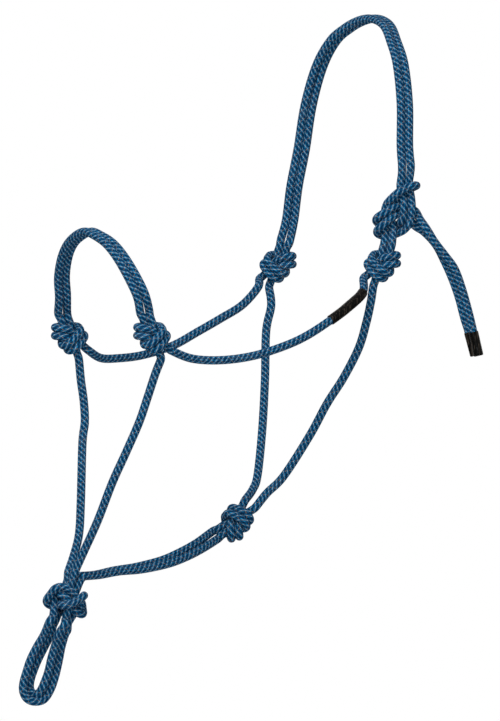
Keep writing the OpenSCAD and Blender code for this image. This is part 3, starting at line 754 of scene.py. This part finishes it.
def rope_tree(material):
    """Sweeps a round tube along a line of rings and raises the braid's yarns on it."""
    tree = bpy.data.node_groups.new("Braided rope", "GeometryNodeTree")
    for name, way, kind in (("Geometry", "INPUT", "Geometry"), ("Sides", "INPUT", "Int"),
                            ("Relief", "INPUT", "Float"), ("Geometry", "OUTPUT", "Geometry")):
        tree.interface.new_socket(name, in_out=way, socket_type="NodeSocket" + kind)
    nodes = Nodes(tree)

    def named(name, kind="FLOAT"):
        return nodes.node("GeometryNodeInputNamedAttribute", {"data_type": kind}, {"Name": name}).outputs[0]

    def stored(geometry, name, value, kind="FLOAT", domain="POINT"):
        return nodes.node("GeometryNodeStoreNamedAttribute", {"data_type": kind, "domain": domain}, {
            "Geometry": geometry, "Name": name, "Value": value}).outputs[0]

    start = nodes.node("NodeGroupInput")
    place = nodes.node("GeometryNodeInputPosition").outputs[0]
    line = nodes.node("GeometryNodeMeshToCurve", {}, {"Mesh": start.outputs["Geometry"]})
    line = nodes.node("GeometryNodeSetCurveNormal", {"mode": "FREE"}, {
        "Curve": line.outputs[0], "Normal": named("frame", "FLOAT_VECTOR")})
    line = stored(line.outputs[0], "middle", place, "FLOAT_VECTOR")
    points = nodes.number(start.outputs["Sides"]) + 1
    ring = nodes.node("GeometryNodeCurveArc", {"mode": "RADIUS"}, {
        "Resolution": points, "Radius": 1.0, "Start Angle": 0.0, "Sweep Angle": 2 * math.pi})
    share_round = nodes.node("GeometryNodeSplineParameter").outputs["Factor"]
    ring = stored(ring.outputs["Curve"], "around", share_round)
    tube = nodes.node("GeometryNodeCurveToMesh", {}, {
        "Curve": line, "Profile Curve": ring, "Scale": named("thick")}).outputs[0]
    around, along = nodes.number(named("around")), nodes.number(named("cell"))
    tube = stored(tube, "Braid", nodes.node("ShaderNodeCombineXYZ", {}, {0: around, 1: along}).outputs[0],
                  "FLOAT2", "CORNER")
    _, _, across, length = braid(around, along)
    share = nodes.number(named("thick")) / (ROPE_R * MM)
    rise = yarn_height(across, length) * share * nodes.number(start.outputs["Relief"])
    outward = nodes.vector("NORMALIZE", nodes.vector("SUBTRACT", place, named("middle", "FLOAT_VECTOR"))[0])
    raised = nodes.vector("SCALE", outward[0], Scale=rise)
    tube = nodes.node("GeometryNodeSetPosition", {}, {"Geometry": tube, "Offset": raised[0]}).outputs[0]
    tube = nodes.node("GeometryNodeMergeByDistance", {}, {
        "Geometry": tube, "Distance": SEAM_WELD * MM}).outputs[0]
    # The end faces stay flat
    side = nodes.number(named("thick")).math("GREATER_THAN", 0.85 * KNOT_R * MM)
    tube = nodes.node("GeometryNodeSetShadeSmooth", {}, {"Geometry": tube, "Shade Smooth": side}).outputs[0]
    tube = nodes.node("GeometryNodeRealizeInstances", {}, {"Geometry": tube}).outputs[0]
    tube = nodes.node("GeometryNodeSetMaterial", {}, {"Geometry": tube, "Material": material}).outputs[0]
    nodes.node("NodeGroupOutput", {}, {0: tube})
    return tree


def rope_piece(name, strands, tree):
    """One piece of the rope: a tube of braid along each of its strands."""
    places, edges, frames, radii, cells = [], [], [], [], []
    for s in strands:
        step = s["tangent"] * CAP_STEP * MM
        first = sum(len(p) for p in places)
        places.append(np.vstack([s["centre"][0] - step[0], s["centre"], s["centre"][-1] + step[-1]]))
        frames.append(np.vstack([s["normal"][0], s["normal"], s["normal"][-1]]))
        radii.append(np.concatenate([[0], s["radius"], [0]]))
        cells.append(np.concatenate([[s["cell"][0]], s["cell"], [s["cell"][-1]]]))
        edges += [(first + k, first + k + 1) for k in range(len(places[-1]) - 1)]
    mesh = bpy.data.meshes.new(name)
    mesh.from_pydata(np.vstack(places).tolist(), edges, [])
    for attribute, kind, values in (("frame", "FLOAT_VECTOR", np.vstack(frames)),
                                    ("thick", "FLOAT", np.concatenate(radii)),
                                    ("cell", "FLOAT", np.concatenate(cells))):
        made = mesh.attributes.new(attribute, kind, "POINT")
        field = "vector" if kind == "FLOAT_VECTOR" else "value"
        made.data.foreach_set(field, values.astype(np.float32).ravel())
    piece = bpy.data.objects.new(name, mesh)
    bpy.context.scene.collection.objects.link(piece)
    modifier = piece.modifiers.new("Braid", "NODES")
    modifier.node_group = tree
    values = {"Sides": TUBE_SIDES, "Relief": RELIEF * MM}
    for socket in tree.interface.items_tree:
        if socket.in_out == "INPUT" and socket.name in values:
            modifier[socket.identifier] = values[socket.name]
    bpy.context.view_layer.update()
    made = bpy.data.meshes.new_from_object(piece.evaluated_get(bpy.context.evaluated_depsgraph_get()))
    piece.modifiers.clear()
    piece.data = made
    for attribute in ("frame", "thick", "cell", "middle", "around"):
        if attribute in made.attributes:
            made.attributes.remove(made.attributes[attribute])
    return piece


# ---------------------------------------------------------------- sleeve and tips
SKIN_SIDES = 48
LOBES, LOBE_H = 8, 0.05  # the braid shows through as low lobes
LOBE_LEAN = 1.16         # radians of their wave in each millimetre along the rope
RIM = 0.45               # of the sleeve
SLEEVE_RINGS, TIP_RINGS = 44, 22


def skin(name, path, normal, stations, closed, material):
    """A skin round a rope: rings of (way along it, radius), the last one joined to the first if closed."""
    way = travelled(path)
    tangent = np.gradient(path, axis=0)
    tangent /= np.linalg.norm(tangent, axis=1)[:, None]
    side = np.cross(tangent, normal)
    angle = 2 * np.pi * np.arange(SKIN_SIDES) / SKIN_SIDES
    places, faces, loops = [], [], []
    for at, radius in stations:
        middle, n, m, t = (np.array([np.interp(at, way, v[:, k]) for k in range(3)])
                           for v in (path, normal, side, tangent))
        middle = middle + t * (at - np.clip(at, 0, way[-1]))
        first = len(places)
        if radius == 0:
            places.append(middle)
            ring = [first] * SKIN_SIDES
        else:
            lean = at / MM * LOBE_LEAN
            lobes = LOBE_H * MM * np.cos(LOBES * angle + lean) * np.cos(LOBES * angle - lean)
            around = np.cos(angle)[:, None] * n + np.sin(angle)[:, None] * m
            places += list(middle + (radius + lobes)[:, None] * around)
            ring = list(range(first, first + SKIN_SIDES))
        loops.append(ring)
    pairs = list(zip(loops[:-1], loops[1:])) + ([(loops[-1], loops[0])] if closed else [])
    for a, b in pairs:
        for k in range(SKIN_SIDES):
            q = (k + 1) % SKIN_SIDES
            faces.append(list(dict.fromkeys((a[k], a[q], b[q], b[k]))))
    mesh = bpy.data.meshes.new(name)
    mesh.from_pydata([tuple(p) for p in places], [], faces)
    mesh.materials.append(material)
    mesh.shade_smooth()
    piece = bpy.data.objects.new(name, mesh)
    bpy.context.scene.collection.objects.link(piece)
    return piece


def spaced(a, b, count):
    """Places from a to b in equal steps."""
    return [a + (b - a) * k / count for k in range(count + 1)]


def sleeve_stations(start, end, inner, outer):
    """A plain sleeve, tight on the rope, with rounded rims."""
    rim = RIM * MM
    rings = [(start + 0.6 * MM, inner), (start, inner + 0.1 * MM), (start + 0.05 * MM, outer - rim),
             (start + 0.2 * MM, outer - 0.12 * MM)]
    rings += [(s, outer) for s in spaced(start + rim, end - rim, SLEEVE_RINGS)]
    rings += [(end - 0.2 * MM, outer - 0.12 * MM), (end - 0.05 * MM, outer - rim), (end, inner + 0.1 * MM),
              (end - 0.6 * MM, inner)]
    return rings


def tip_stations(start, end, inner, outer):
    """A cap shrunk on the rope's end, its own end drawn in to a dimple."""
    rings = [(start + 0.4 * MM, 0), (start + 0.4 * MM, inner), (start, inner + 0.1 * MM),
             (start + 0.1 * MM, outer - 0.3 * MM), (start + 0.35 * MM, outer - 0.05 * MM)]
    rings += [(s, outer) for s in spaced(start + 0.6 * MM, end - 1.3 * MM, TIP_RINGS)]
    rings += [(end - 0.6 * MM, 0.96 * outer), (end - 0.15 * MM, 0.87 * outer), (end, 0.76 * outer),
              (end - 0.05 * MM, 0.6 * outer), (end - 0.5 * MM, 0.42 * outer), (end - 0.8 * MM, 0.2 * outer),
              (end - 0.85 * MM, 0)]
    return rings


# ---------------------------------------------------------------- make the pieces
rope_finish = rope_material()
shrink_finish = shrink_material()
rings = rope_rings()
tree = rope_tree(rope_finish)
braids = {node: rope_piece(node + "_braid", strands, tree) for node, strands in rings.items()}


def from_tie(node, values="centre"):
    """A run's centres or normals in the rope's order, but from the tie outwards on both tails."""
    return rings[node][0][values][::-1 if node == "tail_front" else 1]


# The near cheek rope's rings run from its cheek knot to its nose knot
near = rings["cheek_rope_near"][0]
sleeve = skin("plain_sleeve", near["centre"], near["normal"],
              sleeve_stations(SLEEVE_BACK * MM, (SLEEVE_BACK + SLEEVE_L) * MM, (ROPE_R - SKIN_BITE) * MM,
                              (ROPE_R + PUSH_FIT + SLEEVE_WALL) * MM), True, shrink_finish)
tips = {}
for node in ("tail_front", "tail_rear"):
    path = from_tie(node)
    end = travelled(path)[-1] + (TIP_WALL + PUSH_FIT) * MM
    tips[node] = skin(node.replace("tail", "tip") + "_cap", path, from_tie(node, "normal"),
                      tip_stations(end - TIP_L * MM, end, (ROPE_R - SKIN_BITE) * MM,
                                   (ROPE_R + PUSH_FIT + TIP_WALL) * MM), False, shrink_finish)


# ---------------------------------------------------------------- what moves with what
def metres(point):
    return tuple(float(x) * MM for x in point)


NOSE_LINE = metres((0, -NOSE_REACH, -NOSE_DROP))
CHEEK_LINE = metres((0, -CHEEK_REACH, -CHEEK_DROP))
RISE, FALL = (0, 0, 1), (0, 0, -1)
ONWARD = 29              # rings from a tail's end in the tie to the point that it heads for

RIDES = {"nose_knot": "cheeks", "cheek_knot": "cheeks", "cheek_rope": "cheeks", "tie_knot": "crown",
         "throat_knot": "throat", "fiador_knot": "chin"}


def heading(from_knot, to_knot):
    """From one knot's middle, towards another's."""
    return metres(from_knot.centre), to_knot.centre - from_knot.centre


def tail_heading(node):
    """From a tail's end in the tie, the way that the tail sets off."""
    path = from_tie(node)
    return path[0], path[ONWARD] - path[0]


# A run between two bodies, which is not bent but stays where it is: the two bodies, from a place, along a
# direction, from and to this many millimetres
BENDS = {
    "noseband_rope": ("cheeks", "noseband", NOSE_LINE, RISE, 17, 50),
    "crown_rope": ("cheeks", "crown", CHEEK_LINE, RISE, 20, 56),
    "tie_loop": ("cheeks", "crown", CHEEK_LINE, RISE, 20, 36),
    "tail_front": ("crown", "front_tail", *tail_heading("tail_front"), 1, 22),
    "tail_rear": ("crown", "rear_tail", *tail_heading("tail_rear"), 1, 22),
    "chin_rope_near": ("cheeks", "chin", *heading(nose_near, fiador), 18, 52),
    "chin_rope_far": ("cheeks", "chin", *heading(nose_far, fiador), 18, 52),
    "throat_rope_near": ("cheeks", "throat", *heading(cheek_near, throat), 18, 52),
    "throat_rope_far": ("cheeks", "throat", *heading(cheek_far, throat), 18, 52),
    "jaw_rope": ("chin", "jaw", *heading(fiador, throat), 22, 56),
    "lead_loop": ("chin", "lead_loop", metres(fiador.centre), FALL, 21, 52),
}

for node, piece in braids.items():
    kind = next(k for k in (*RIDES, *BENDS) if node.startswith(k))
    if kind in RIDES:
        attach(piece, RIDES[kind])
    else:
        held, moved, place, way, start, end = BENDS[kind]
        way = unit(way)
        tuple(place + way * start * MM)
        tuple(place + way * end * MM)
        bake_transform(piece)
    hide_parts(node)

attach(sleeve, "cheeks")
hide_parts("label_sleeve")
for node, tip in tips.items():
    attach(tip, node.replace("tail_", "") + "_tail")
    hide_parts(node.replace("tail_", "tail_tip_"))

for node in ROUTES:
    path = from_tie(node)
    "fitting" if node in tips else "object"

# ---------------------------------------------------------------- floor and light
MIDDLE = Vector((0, -0.17, -0.33))
FLOOR_Z, FLOOR_R, FLOOR_SIDES = -0.76, 3.2, 96
SOFT_LIGHT = 0.16        # from all round


def add_floor():
    """A round floor under the hanging halter."""
    turns = [2 * math.pi * k / FLOOR_SIDES for k in range(FLOOR_SIDES)]
    mesh = bpy.data.meshes.new("floor")
    mesh.from_pydata([(FLOOR_R * math.cos(t), FLOOR_R * math.sin(t), 0) for t in turns], [],
                     [list(range(FLOOR_SIDES))])
    mesh.materials.append(floor_material())
    floor = bpy.data.objects.new("floor", mesh)
    floor.location = (MIDDLE.x, MIDDLE.y, FLOOR_Z)
    bpy.context.scene.collection.objects.link(floor)


def add_light(name, azimuth, elevation, distance, size, power):
    """A soft round lamp that shines at the halter's middle from this side."""
    data = bpy.data.lights.new(name, "AREA")
    data.shape, data.size, data.energy = "DISK", size, power
    a, e = math.radians(azimuth), math.radians(elevation)
    back = Vector((math.sin(a) * math.cos(e), -math.cos(a) * math.cos(e), math.sin(e)))
    light = bpy.data.objects.new(name, data)
    light.location = MIDDLE + distance * back
    light.rotation_euler = back.to_track_quat("Z", "Y").to_euler()
    bpy.context.scene.collection.objects.link(light)
    return light


def add_world():
    """Soft light all round, and a white backdrop for what sees it directly or mirrored."""
    world = bpy.data.worlds.new("Studio")
    world.use_nodes = True
    world.node_tree.nodes.clear()
    nodes = Nodes(world.node_tree)
    rays = nodes.node("ShaderNodeLightPath")
    seen = nodes.number(rays.outputs["Is Camera Ray"])
    for ray in ("Is Glossy Ray", "Is Transmission Ray"):
        seen = seen.math("MAXIMUM", nodes.number(rays.outputs[ray]))
    soft = nodes.node("ShaderNodeBackground", {}, {"Color": (1, 1, 1, 1), "Strength": SOFT_LIGHT})
    white = nodes.node("ShaderNodeBackground", {}, {"Color": (1, 1, 1, 1), "Strength": 1.0})
    both = nodes.node("ShaderNodeMixShader", {}, {0: seen, 1: soft.outputs[0], 2: white.outputs[0]})
    nodes.node("ShaderNodeOutputWorld", {}, {"Surface": both.outputs[0]})
    bpy.context.scene.world = world


add_floor()
add_world()
# Angles in degrees round the halter and up, then distance and size in metres, and power in watts
add_light("Key", 38, 52, 2.2, 0.9, 30)
add_light("Fill", 58, 12, 2.6, 1.2, 19)
# Straight behind, so that the halter's back is lit and its front isn't
back_lamp = add_light("Back", math.degrees(VIEW_AZIMUTH) + 180, -6, 3.0, 1.6, 34)
back_lamp.visible_camera = back_lamp.visible_glossy = False

bpy.context.scene.view_settings.view_transform = "Standard"
